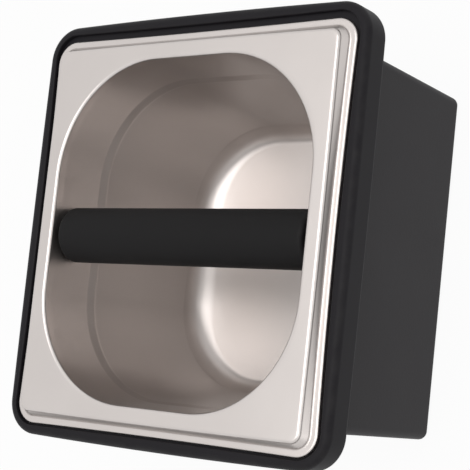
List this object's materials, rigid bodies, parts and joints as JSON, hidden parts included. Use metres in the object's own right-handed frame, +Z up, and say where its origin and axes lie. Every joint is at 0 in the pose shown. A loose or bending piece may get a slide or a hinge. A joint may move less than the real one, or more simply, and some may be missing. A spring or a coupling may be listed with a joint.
{
  "type": "espresso knock box",
  "caption": "Bench knock box: drawn steel catch pan crossed by a rubber knock bar, seated in the soft rubber rim of a black sheet-steel housing.",
  "frame": {"origin": "on the bench under the middle of the housing, in the plane of the four feet's soles", "axes": "+Z up out of the mouth, +X along the knock bar, +Y along the longer side"},
  "size_m": [0.1736, 0.1896, 0.1097],
  "materials": {
    "satin_steel": "satin stainless sheet",
    "bar_steel": "plain stainless bar",
    "zinc_plate": "zinc plated screws",
    "bar_rubber": "matt black rubber",
    "rim_rubber": "smooth black rubber",
    "powder_coat": "fine matt charcoal powder coat"
  },
  "bodies": {
    "housing": {"housing": "powder_coat", "rim_frame": "rim_rubber", "foot_front_left": "rim_rubber", "foot_front_right": "rim_rubber", "foot_back_left": "rim_rubber", "foot_back_right": "rim_rubber", "foot_screw_front_left": "zinc_plate", "foot_screw_front_right": "zinc_plate", "foot_screw_back_left": "zinc_plate", "foot_screw_back_right": "zinc_plate", "foot_nut_front_left": "zinc_plate", "foot_nut_front_right": "zinc_plate", "foot_nut_back_left": "zinc_plate", "foot_nut_back_right": "zinc_plate"},
    "pan": {"pan": "satin_steel", "bar_core": "bar_steel", "bar_sleeve": "bar_rubber", "bar_screw_left": "zinc_plate", "bar_screw_right": "zinc_plate", "bar_washer_left": "bar_steel", "bar_washer_right": "bar_steel", "bar_seal_left": "bar_rubber", "bar_seal_right": "bar_rubber"}
  },
  "joints": [
    {"name": "pan_lift", "type": "slide", "parent": "housing", "child": "pan", "axis": [0, 0, 1], "range_m": [0, 0.12]}
  ]
}
